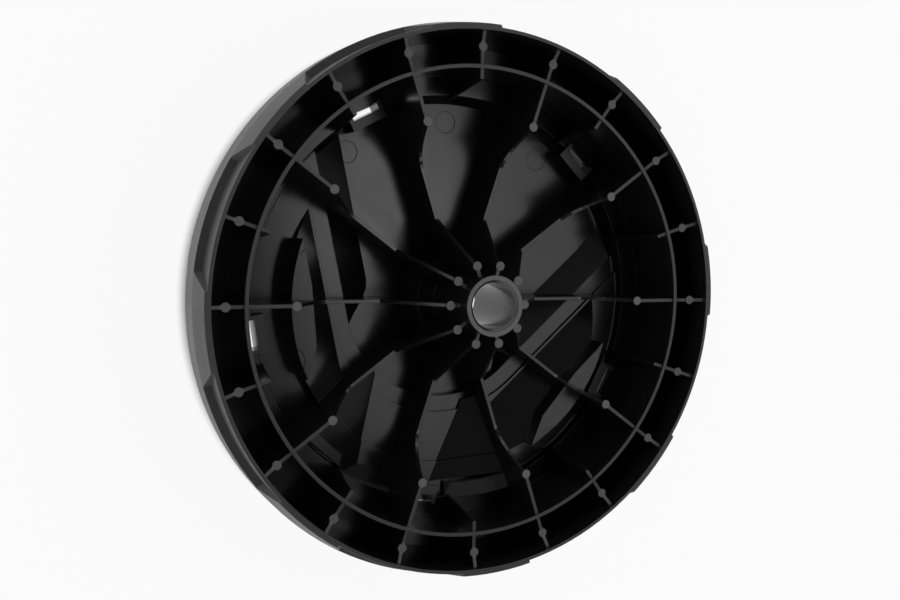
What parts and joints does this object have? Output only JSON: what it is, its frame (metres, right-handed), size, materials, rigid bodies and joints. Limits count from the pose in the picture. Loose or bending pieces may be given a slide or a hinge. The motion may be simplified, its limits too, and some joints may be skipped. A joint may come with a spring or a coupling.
{
  "type": "pressure washer wheel",
  "caption": "Moulded plastic wheel with a long hub tube, radial ribs, a round rib, a disc with a raised pattern, and a blocked tread with a plain band round its middle.",
  "frame": {"origin": "centre of the disc's front face, on the axle's line, which is also the lowest point", "axes": "+Z along the axle, from the front face to the open back and the hub tube's end; +X along one of the long ribs"},
  "size_m": [0.2456, 0.2456, 0.0597],
  "materials": {
    "black_plastic": "satin moulded black polypropylene, with faint flow and ejector marks"
  },
  "bodies": {
    "root": {"wheel": "black_plastic"}
  },
  "joints": []
}
